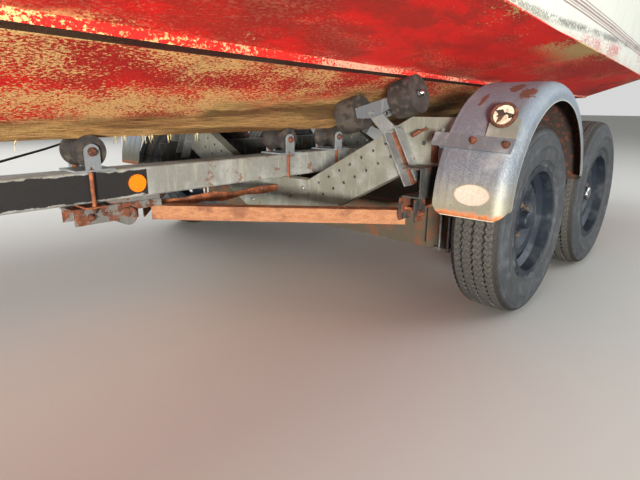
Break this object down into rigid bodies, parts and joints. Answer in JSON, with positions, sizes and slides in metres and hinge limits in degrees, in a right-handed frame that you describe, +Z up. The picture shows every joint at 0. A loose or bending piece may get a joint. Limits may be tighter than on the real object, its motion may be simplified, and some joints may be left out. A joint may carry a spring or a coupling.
{
  "type": "speedboat on trailer",
  "caption": "Speedboat with an outboard motor standing on its galvanised tandem-axle roller trailer; wheels, jockey wheel, motor and helm move.",
  "frame": {"origin": "on the ground under the middle of the whole part", "axes": "+X towards the bow and the tow hitch, +Y to port, +Z up"},
  "size_m": [7.617, 2.3466, 2.1084],
  "materials": {
    "hull_paint": "chalky gelcoat over worn antifouling",
    "gelcoat": "chalky gelcoat",
    "vinyl": "faded marine vinyl",
    "aluminium_trim": "satin",
    "screen_glass": "clear",
    "black_rubber": "matt",
    "stainless": "polished",
    "helm_black": "matt",
    "motor_paint": "satin",
    "motor_cover": "gloss",
    "prop_alloy": "painted",
    "tyre_rubber": "dusty",
    "wheel_paint": "worn paint",
    "axle_steel": "dull",
    "rusty_steel": "rusty",
    "galvanised": "weathered zinc",
    "zinc_plate": "zinc plated",
    "roller_plastic": "worn",
    "lamp_plastic": "weathered",
    "lamp_red": "clear red",
    "lamp_amber": "clear amber",
    "webbing": "woven",
    "cable_black": "matt"
  },
  "bodies": {
    "boat_and_trailer": {"hull_shell": "hull_paint", "deck": "gelcoat", "cockpit_liner": "gelcoat", "helm_consoles": "gelcoat", "seat_shells": "gelcoat", "seat_cushions": "vinyl", "bench_cushions": "vinyl", "windscreen_frame": "aluminium_trim", "windscreen_panes": "screen_glass", "rub_rail": "black_rubber", "deck_cleats": "stainless", "tow_eyes": "stainless", "motor_clamp": "motor_paint", "axles": "axle_steel", "leaf_springs": "rusty_steel", "side_rails": "galvanised", "spring_hangers": "galvanised", "crossmembers": "galvanised", "cross_saddles": "galvanised", "struts": "rusty_steel", "strut_clamp": "rusty_steel", "tie_strip": "rusty_steel", "keel_brackets": "galvanised", "keel_rollers": "roller_plastic", "u_bolts": "rusty_steel", "wing_posts": "galvanised", "wing_rockers": "galvanised", "wing_rollers": "roller_plastic", "fenders": "galvanised", "fender_brackets": "galvanised", "marker_lamps": "lamp_plastic", "spine_beam": "galvanised", "coupler": "galvanised", "winch_post": "galvanised", "winch": "zinc_plate", "winch_strap": "webbing", "bow_stop": "black_rubber", "jockey_clamp": "galvanised", "lamp_bar": "galvanised", "tail_lamps": "lamp_red", "side_reflectors": "lamp_amber", "wiring_cable": "cable_black"},
    "wheel_front_port": {"tyre_front_port": "tyre_rubber", "rim_front_port": "wheel_paint"},
    "wheel_front_starboard": {"tyre_front_starboard": "tyre_rubber", "rim_front_starboard": "wheel_paint"},
    "wheel_rear_port": {"tyre_rear_port": "tyre_rubber", "rim_rear_port": "wheel_paint"},
    "wheel_rear_starboard": {"tyre_rear_starboard": "tyre_rubber", "rim_rear_starboard": "wheel_paint"},
    "jack_leg": {"jockey_leg": "zinc_plate"},
    "jack_fork": {"jockey_fork": "zinc_plate"},
    "jack_wheel": {"jockey_wheel": "black_rubber"},
    "motor_bracket": {"motor_swivel": "motor_paint"},
    "motor": {"motor_leg": "motor_paint", "motor_cowl": "motor_cover"},
    "screw": {"propeller": "prop_alloy"},
    "helm": {"helm_wheel": "helm_black"}
  },
  "joints": [
    {"name": "front_port_wheel_spin", "type": "hinge", "parent": "boat_and_trailer", "child": "wheel_front_port", "pos_m": [-1.2185, 0.985, 0.325], "axis": [0, 1, 0], "continuous": true},
    {"name": "front_starboard_wheel_spin", "type": "hinge", "parent": "boat_and_trailer", "child": "wheel_front_starboard", "pos_m": [-1.2185, -0.985, 0.325], "axis": [0, 1, 0], "continuous": true},
    {"name": "rear_port_wheel_spin", "type": "hinge", "parent": "boat_and_trailer", "child": "wheel_rear_port", "pos_m": [-1.9825, 0.985, 0.325], "axis": [0, 1, 0], "continuous": true},
    {"name": "rear_starboard_wheel_spin", "type": "hinge", "parent": "boat_and_trailer", "child": "wheel_rear_starboard", "pos_m": [-1.9825, -0.985, 0.325], "axis": [0, 1, 0], "continuous": true},
    {"name": "jack_raise", "type": "slide", "parent": "boat_and_trailer", "child": "jack_leg", "axis": [0, 0, 1], "range_m": [0, 0.15]},
    {"name": "jack_swivel", "type": "hinge", "parent": "jack_leg", "child": "jack_fork", "pos_m": [3.2315, -0.12, 0.245], "axis": [0, 0, 1], "continuous": true},
    {"name": "jack_wheel_spin", "type": "hinge", "parent": "jack_fork", "child": "jack_wheel", "pos_m": [3.1765, -0.12, 0.105], "axis": [0, 1, 0], "continuous": true},
    {"name": "motor_tilt", "type": "hinge", "parent": "boat_and_trailer", "child": "motor_bracket", "pos_m": [-3.2805, 0, 1.19], "axis": [0, 1, 0], "range_deg": [0, 65]},
    {"name": "motor_steer", "type": "hinge", "parent": "motor_bracket", "child": "motor", "pos_m": [-3.3835, 0, 1.1], "axis": [0, 0, 1], "range_deg": [-30, 30]},
    {"name": "propeller_spin", "type": "hinge", "parent": "motor", "child": "screw", "pos_m": [-3.6385, 0, 0.445], "axis": [1, 0, 0], "continuous": true},
    {"name": "helm_turn", "type": "hinge", "parent": "boat_and_trailer", "child": "helm", "pos_m": [-0.3685, -0.42, 1.515], "axis": [-0.9063, 0, 0.4226], "range_deg": [-540, 540]}
  ],
  "couplings": [
    {"joint": "helm_turn", "follows": "motor_steer", "ratio": -18}
  ]
}
